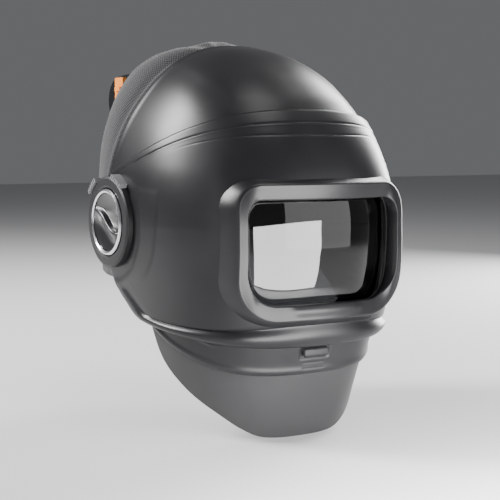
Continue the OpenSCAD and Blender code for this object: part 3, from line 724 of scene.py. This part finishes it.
# %% Strips under the chin
def strip_shell(name, top, bottom, off, wall, rows, end, relief=None, columns_wide=320, rim=1.0):
    """A shell between two curves of the side view, from one end round the front to the other."""
    turn = np.radians(np.linspace(-end, end, columns_wide))

    def at(height):
        flat = np.stack([np.sin(turn), -np.cos(turn), np.zeros_like(turn)], -1)
        centre = np.stack([np.zeros_like(height), np.full_like(height, CENTRE_Y), height], -1)
        return cast(centre, flat, outside_form(off))

    def crossing(curve):
        low, high = np.full(columns_wide, -190.0), np.full(columns_wide, -80.0)
        for _ in range(24):
            middle = (low + high) / 2
            y = at(middle)[:, 1]
            over = middle > np.interp(y, curve[::-1, 0], curve[::-1, 1])
            high = np.where(over, middle, high)
            low = np.where(over, low, middle)
        return (low + high) / 2

    z_top = crossing(top)
    z_low = np.minimum(crossing(bottom), z_top - 0.02)
    length = z_top - z_low
    want = spacing(np.maximum(length, 4.2), rows, True, True) * (length / np.maximum(length, 4.2))[:, None]
    points = np.array([at(z_low + want[:, k]) for k in range(want.shape[1])])
    d_low, d_top = want.T, (length[:, None] - want).T
    height = rim_drop(d_low, rim) + rim_drop(d_top, rim)
    if relief:
        height = height + relief(points, d_low, d_top)
    return walled(grid_piece(name, points + outward(points, off) * height[..., None], closed=False), wall)


def chin_relief(p, d_low, d_top):
    x, y, z = np.moveaxis(p, -1, 0)
    flute = 1.2 * bump_at(d_low - 3.5, 3.0)
    slot = -1.7 * step(15.2 - np.abs(x), 0.35) * step(5.6 - np.abs(z + 108), 0.35) * step(-y - 100, 4)
    crease = 1.5 * bump_at(away_from(p, CREASE), 2.0) * step(p[..., 1] + 118, 3)
    lines = bump_at(z + 117.5, 0.7) + bump_at(z + 122.5, 0.7)
    lines = -0.5 * step(11 - np.abs(x), 0.4) * lines * step(-y - 100, 4)
    return flute + slot + crease + lines


CREASE = smooth([(-74, -82), (-82, -85), (-100, -91), (-120, -101)])
CHIN_TOP = np.array([(-300.0, -82.3), (40.0, -82.3)])
chin = strip_shell("chin_skin", CHIN_TOP[::-1], CHIN_LOW, SHELL_OUT, SHELL_WALL, 64, 74, chin_relief)
finish_piece(dress(chin, SHELL), "helmet", "chin_guard")
BIB_TOP = np.array([(40.0, -80.0), (-84.0, -91.0), (-130.0, -109.0), (-300.0, -112.0)])
bib = strip_shell("bib_skin", BIB_TOP, np.vstack([BIB_REAR, [(-200, -187.4)]]), BIB_OUT, 2.2, 90, 70.9)
finish_piece(dress(bib, BIB), "helmet", "throat_bib")

# %% [markdown]
# ## The clear visor
# The visor is a curved sheet that follows the form a few millimetres inside the shell. A flat grid
# is squeezed into a rounded rectangle and laid onto the form.

# %% Make the visor
def rounded_grid(half, low, high, corner, count):
    """A grid whose border is a rounded rectangle in the front view."""
    u, v = np.meshgrid(np.linspace(-1, 1, count), np.linspace(-1, 1, count))
    power = 8.0
    norm = (np.abs(u) ** power + np.abs(v) ** power) ** (1 / power)
    square = np.maximum(np.abs(u), np.abs(v))
    share = np.where(norm > 0, square / np.maximum(norm, 1e-9), 1)
    return u * share * half, v * share * (high - low) / 2 + (low + high) / 2


vx, vz = rounded_grid(WINDOW_HALF + 12.6, WINDOW_LOW - 8.6, WINDOW_HIGH + 20.6, 24, 90)
visor_points = np.stack([vx, front_y(vx, vz, VISOR_OUT), vz], -1)
visor = walled(grid_piece("visor_sheet", visor_points, closed=False), 2.2)
finish_piece(dress(visor, VISOR_PAINTED_DARK), "helmet", "clear_visor")

# %% [markdown]
# ## The cloth cover
# The rear cloth starts under the hard shell's edge. A welt stands just behind that edge, then the
# cloth falls into a valley, billows up over the back of the head and gathers towards its hem. Its
# rings run from the middle of the back to that edge, and its folds are heights along the normal.

# %% Make the head cover
COVER_OUTLINE = np.vstack([EDGE + [-7, 0], [(-22, 260), (300, 260), (300, -52)],
    smooth([(110, -46), (62, -47), (24, -54), (-6, -66)]), [(-20, -74)]])
NAPE = np.array([0.0, 12.0, 34.0])


# The raised shield's upper edge passes over the cloth. These give its radius and its angle about the
# pivots, at each distance from the middle.
SHIELD_RAISED = 65
EDGE_SIDE = smooth([(-8, 48), (-40, 60.4), (-90, 79.9), (-137, 98.7)], 8)
WIDE, AHEAD, _ = reach(EDGE_SIDE[:, 1], -SHIELD_WALL)
SHARP = sharpness(EDGE_SIDE[:, 1])
EDGE_X = WIDE * np.clip(1 - (np.abs(EDGE_SIDE[:, 0] - CENTRE_Y) / AHEAD) ** SHARP, 0, 1) ** (1 / SHARP)
EDGE_ORDER = np.argsort(EDGE_X)
EDGE_RADIUS = np.hypot(EDGE_SIDE[:, 0], EDGE_SIDE[:, 1])
EDGE_TURN = np.degrees(np.arctan2(EDGE_SIDE[:, 1], -EDGE_SIDE[:, 0])) + SHIELD_RAISED


def room(p, height):
    """Lowers the cloth to about the inner face of the raised shield's upper edge."""
    x = np.abs(p[..., 0])
    radius = np.interp(x, EDGE_X[EDGE_ORDER], EDGE_RADIUS[EDGE_ORDER])
    turned = np.interp(x, EDGE_X[EDGE_ORDER], EDGE_TURN[EDGE_ORDER])
    here = np.degrees(np.arctan2(p[..., 2], -p[..., 1]))
    spare = radius + 0.6 - np.hypot(p[..., 1], p[..., 2])
    return height - step(turned + 2.5 - here, 0.8) * np.clip(height - np.maximum(spare, -4), 0, None)


def cover_folds(p, run):
    """Height of the cloth over its plain form, from the distance behind the shell's edge."""
    x, y, z = np.moveaxis(p, -1, 0)
    behind = away_from(p, EDGE)
    high = step(z - 70, 26)
    tucked = -4.6 * step(1.5 - behind, 0.9)
    welt = 1.9 * bump_at(behind - 6.5, 2.4)
    valley = -3.6 * bump_at(behind - 15, 5.0) * (0.35 + 0.65 * high)
    billow = (3.5 + 13.5 * high) * step(behind - 27, 5.5) * step(82 - y, 9)
    second = -2.4 * bump_at(behind - 47 - 5 * np.sin(z / 23), 5.5) * (0.4 + 0.6 * high) * step(80 - y, 8)
    round_head = np.arctan2(x, y + 6)
    drift = 1.6 * np.sin(z / 37 + 0.8) + 0.9 * np.sin(z / 19 + np.abs(x) / 30)
    settled = step(behind - 30, 8)
    folds = 1.9 * np.sin(round_head * 8.5 + drift) * settled * (0.5 + 0.5 * step(40 - z, 30))
    crossing = np.sin(behind * 0.13 + 2.2 * np.sin(round_head * 3.1 + z / 50) + 0.5)
    crossing = 1.5 * crossing * step(behind - 22, 7) * high
    small = 0.5 * np.sin(round_head * 23 + z * 0.09 + 2 * np.sin(z / 24)) * settled * (1 - 0.7 * high)
    hem = np.clip(1 - run / 30, 0, 1) * step(-z - 20, 6)
    gathers = 1.7 * hem * np.sin(round_head * 46 + 0.8 * np.sin(round_head * 9))
    under = -2.5 * step(24 - np.hypot(np.maximum(np.abs(x) - 60, 0), np.hypot(y - 98, z - 112)), 4)
    return room(p, tucked + welt + valley + billow + second + folds + crossing + small + gathers + under)


def cover_mesh():
    outside = outside_form(-4.0, COVER_BULGE)
    turns = np.linspace(0, 2 * math.pi, 520, endpoint=False)
    start = np.full(len(turns), 0.01)
    outer = border(NAPE, turns, 1, outside, in_side_view(COVER_OUTLINE), start)
    points, d_in, d_out = columns(NAPE, turns, 1, outside, start, outer, 170, inner_rim=False)
    away_y = outward(points, -4.0, COVER_BULGE)
    shaped = points + away_y * cover_folds(points, d_out)[..., None]
    around = 95.0 * turns[None, :] + 0 * d_in
    return grid_piece("cover_cloth", shaped, uv=np.stack([around, d_in], -1))


cover = walled(cover_mesh(), 1.2, 60)
finish_piece(dress(cover, CLOTH), "helmet", "head_cover")

# %% [markdown]
# ## The face seal
# A gathered ring of the same cloth closes the gap between the shell and the wearer's cheeks and
# chin. It is a funnel between two loops, with elastic gathers that die out towards the shell.

# %% Make the face seal
def seal_loop(turn, inner):
    top, low = (46, -104) if inner else (62, -122)
    up = np.sin(turn)
    reach_y = -84 - 24 * np.clip(up, 0, None) if inner else -112 - 16 * np.clip(up, 0, None)
    wide = HALF_WIDTH - (30 if inner else 32)
    return np.stack([wide * np.cos(turn), reach_y, (top + low) / 2 + up * (top - low) / 2], -1)


seal_turn = np.linspace(0, 2 * math.pi, 400, endpoint=False)
share = np.linspace(0, 1, 26)[:, None, None]
funnel = seal_loop(seal_turn, True) * (1 - share) + seal_loop(seal_turn, False) * share
radial = np.stack([np.cos(seal_turn), 0 * seal_turn, np.sin(seal_turn)], -1)
crimp = 1.1 * np.sin(seal_turn * 52 + np.sin(seal_turn * 5))
crimp = crimp * (1 - share[..., 0]) * np.minimum(1, share[..., 0] * 6 + 0.3)
bow = 2.2 * np.sin(share[..., 0] * math.pi) + 0 * seal_turn
seal = grid_piece("seal_cloth_ring", funnel - radial * (1.2 + crimp + bow)[..., None])
apply_modifier(seal, "SOLIDIFY", thickness=1.1 * MM, offset=0)
bpy.ops.object.shade_smooth_by_angle(angle=math.radians(60))
finish_piece(dress(seal, SEAL_CLOTH), "helmet", "face_seal")

# %% [markdown]
# ## The pads
# Sweatband, nape pad and crown pad are knitted covers drawn over foam. Each is a bar along a line,
# with a rounded, slightly crowned section, sewn channels across it and ends that close softly.

# %% Make the pads
def soft_bar(name, spine, side_way, thick_way, half_width, half_thick, channels, body, node):
    count = len(spine)
    s = np.linspace(-1, 1, count)
    close = np.clip(1 - np.abs(s) ** 14, 0, 1) ** 0.4
    phi = np.linspace(0, 2 * math.pi, 44, endpoint=False)
    cx = np.sign(np.cos(phi)) * np.abs(np.cos(phi)) ** 0.45
    cz = np.sign(np.sin(phi)) * np.abs(np.sin(phi)) ** 0.75
    sewn = 1 - 0.3 * np.exp(-((np.mod(s * channels / 2 + 0.5, 1) - 0.5) * 2 / channels * 30) ** 2)
    wide = (half_width * close)[:, None] * cx
    thick = (half_thick * np.maximum(close, 0.02) * sewn)[:, None] * cz * (1 - 0.12 * cx**4)
    points = spine[:, None] + side_way[:, None] * wide[..., None] + thick_way[:, None] * thick[..., None]
    obj = grid_piece(name, points)
    bpy.ops.object.mode_set(mode="EDIT")
    bpy.ops.mesh.select_all(action="DESELECT")
    bpy.ops.mesh.select_non_manifold()
    bpy.ops.mesh.edge_face_add()
    bpy.ops.mesh.select_all(action="SELECT")
    bpy.ops.mesh.normals_make_consistent(inside=False)
    bpy.ops.object.mode_set(mode="OBJECT")
    bpy.ops.object.shade_smooth_by_angle(angle=math.radians(60))
    finish_piece(dress(obj, KNIT), body, node)


def plan_line(half, ahead, power, from_deg, to_deg, centre, facing, count=160):
    """A level line round the head and its outward direction, at the headband's height."""
    a = np.radians(np.linspace(from_deg, to_deg, count))
    r = ((np.abs(np.sin(a)) / half) ** power + (np.abs(np.cos(a)) / ahead) ** power) ** (-1 / power)
    line = np.stack([r * np.sin(a), centre + facing * r * np.cos(a), np.full(count, 46.0)], -1)
    along = np.gradient(line, axis=0)
    out = np.stack([along[:, 1], -along[:, 0], 0 * a], -1)
    out *= np.sign((out * (line - [0, centre, 46])).sum(1))[:, None]
    return line, out / np.linalg.norm(out, axis=1, keepdims=True)


UP = np.tile([0.0, 0, 1], (160, 1))
line, out = plan_line(78 - 4.3, 100 - 4.3, 2.4, -52, 52, 0, -1)
soft_bar("sweatband_pad", line, UP, out, 15, 1.85, 7, "harness", "sweatband")
line, out = plan_line(75.4 - 5.0, 36 - 5.0, 2.6, -45, 45, 50, 1)
soft_bar("nape_cushion", line, UP, out, 15, 2.4, 4, "cradle_body", "nape_pad")
line = np.stack([np.zeros(160), np.linspace(-55, 31, 160), np.full(160, 124.8)], -1)
soft_bar("crown_cushion", line, np.tile([1.0, 0, 0], (160, 1)), UP, 18, 1.8, 5, "harness", "crown_pad")

# %% [markdown]
# ## The chin button
# The wearer presses a bar on the chin guard from outside. A cube is stretched to the bar's own box
# and its edges are rounded with a wide bevel, so that it ends in soft corners as a moulded bar does.

# %% Make the chin button
BAR_ROUNDING = 2.6


def press_bar():
    """A bar with rounded edges, as large as the box of the chin button's own node."""
    corners = np.array([vertex.co for vertex in nodes["chin_button"].data.vertices], dtype=float)
    low, high = corners.min(axis=0), corners.max(axis=0)
    deselect()
    bpy.ops.mesh.primitive_cube_add(size=1, location=tuple((low + high) / 2))
    bar = bpy.context.object
    bar.name = "press_bar"
    bar.scale = tuple(high - low)
    bpy.ops.object.transform_apply(location=True, rotation=False, scale=True)
    bpy.ops.object.mode_set(mode="EDIT")
    bpy.ops.mesh.select_all(action="SELECT")
    bpy.ops.mesh.bevel(offset=BAR_ROUNDING * MM, segments=6)
    bpy.ops.object.mode_set(mode="OBJECT")
    bpy.ops.object.shade_smooth()
    return bar


finish_piece(dress(press_bar(), DARK), "button", "chin_button")

# %% [markdown]
# ## The knobs
# Each knob is a round bowl with one curved fin across it for the fingers. The fin's upper side is
# steep and its lower side runs out into the bowl. Both come from one polar grid, whose rows run from
# the centre over the rim and back underneath.

# %% Make the knob caps
def knob_cap(name, hand, body, node):
    phi = np.linspace(0, 2 * math.pi, 160, endpoint=False)
    radius = np.concatenate([np.linspace(0.02, 25.2, 70), [25.7, 26.1, 26.35]])[:, None] + 0 * phi
    y, z = radius * np.cos(phi), radius * np.sin(phi)
    lean = math.radians(24)
    along = y * math.cos(lean) + z * math.sin(lean)
    across = -y * math.sin(lean) + z * math.cos(lean) - 2.4 * np.sin(along / 26 * math.pi)
    bowl = 4.9 + 3.3 * (radius / 26.3) ** 2.6
    fin = np.where(across > 0, np.exp(-(across / 2.3) ** 4), np.exp(-(np.abs(across) / 7.5) ** 2.2))
    height = bowl + (9.9 - bowl) * fin * step(25.4 - radius, 0.7)
    height[-3:] -= np.array([0.02, 0.15, 0.6])[:, None]
    under = [(26.4, 6.0), (26.4, 4.1), (26.1, 3.8), (14.0, 3.8), (6.0, 3.8), (6.0, -1.0), (0.02, -1.0)]
    for r, t in under:
        y, z = np.vstack([y, r * np.cos(phi)]), np.vstack([z, r * np.sin(phi)])
        height = np.vstack([height, t + 0 * phi])
    obj = grid_piece(name, np.stack([hand * (HALF_WIDTH + height), y, z], -1))
    bpy.ops.object.mode_set(mode="EDIT")
    bpy.ops.mesh.select_all(action="SELECT")
    bpy.ops.mesh.normals_make_consistent(inside=False)
    bpy.ops.object.mode_set(mode="OBJECT")
    bpy.ops.object.shade_smooth_by_angle(angle=math.radians(40))
    finish_piece(dress(obj, KNOB), body, node)


knob_cap("knob_cap_right", -1, "knob_r", "knob_right")
knob_cap("knob_cap_left", 1, "knob_l", "knob_left")

# %% Finishes of the carried-over pieces
paint(DARK, "visor_frame", "filter_frame", "brow_duct", "brow_deflector", "inlet_collar", "hub_right",
    "hub_left", "housing_right", "housing_left", "damper_flap", "button_bracket", "inlet_swivel")
paint(SHIELD, "shield_hub_right", "shield_hub_left")
paint(RUBBER, "visor_seal", "filter_gasket", "bumper_pads", "duct_gasket", "inlet_ring")
paint(STRAP_BINDING, "cover_binding")
paint(BLACK_GLOSS, "rear_duct")
paint(STRAP, "headband", "strap_front", "strap_rear", "side_arm_right", "side_arm_left", "cradle",
    "ratchet_case", "ratchet_lid", "ratchet_dial", "rack_right", "rack_left", "strap_studs")
paint(RING, "ring_right", "ring_left")
paint(STEEL, "collar_screws", "hub_screws", "filter_clips", "axle_right", "axle_left", "button_spring")
paint(ORANGE, "flow_slider")
paint(TAB, "grip_tabs")

# %% Soften the edges of the carried-over pieces
def eased(width, *names):
    """Rounds a carried-over piece's sharp edges a little, as moulding does; its shape stays."""
    for name in names:
        bevel = nodes[name].modifiers.new("Eased", "BEVEL")
        bevel.width = width * MM
        bevel.segments = 3
        bevel.limit_method = "ANGLE"
        bevel.angle_limit = math.radians(38)


eased(0.6, "ring_right", "ring_left", "housing_right", "housing_left")
eased(0.5, "flow_slider", "ratchet_case", "ratchet_lid", "side_arm_right", "side_arm_left",
    "button_bracket", "ratchet_dial", "inlet_collar", "inlet_swivel", "grip_tabs")

# %% Floor and light
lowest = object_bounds()[0][2]
deselect()
bpy.ops.mesh.primitive_plane_add(size=12, location=(0, 0, lowest - 0.0005))
floor = bpy.context.object
floor.name = "floor"
floor_finish = Finish("pale floor", (0.6, 0.6, 0.6), 0.7)
dress(floor, floor_finish.material)


def softbox(name, place, aim, size, power, tint=(1, 1, 1)):
    data = bpy.data.lights.new(name, "AREA")
    data.shape = "RECTANGLE"
    data.size, data.size_y = size
    data.energy = power
    data.color = tint
    lamp = bpy.data.objects.new(name, data)
    bpy.context.scene.collection.objects.link(lamp)
    lamp.location = place
    lamp.rotation_euler = (Vector(place) - Vector(aim)).to_track_quat("Z", "Y").to_euler()
    return lamp


softbox("key_left", (-1.25, 0.9, 1.1), (-0.03, 0, 0.08), (0.5, 0.9), 84)
softbox("left_fill", (-1.9, -0.7, 0.2), (0, 0, 0), (0.4, 1.4), 3)
low = softbox("low_panel", (-0.02, -0.44, -0.085), (-0.02, 0, -0.085), (0.42, 0.19), 4.2)
low.visible_camera = False
softbox("front_panel", (0.83, -1.62, 0.25), (0, 0, 0), (1.25, 1.3), 8)
softbox("rim_right", (1.4, 0.5, 0.5), (0, 0, 0.05), (0.45, 1.5), 60)
softbox("top", (0.25, -0.5, 1.9), (0, 0, 0), (0.8, 0.8), 9)
world = bpy.data.worlds.new("studio")
world.use_nodes = True
world.node_tree.nodes["Background"].inputs["Color"].default_value = (0.9, 0.92, 0.95, 1)
world.node_tree.nodes["Background"].inputs["Strength"].default_value = 0.15
bpy.context.scene.world = world
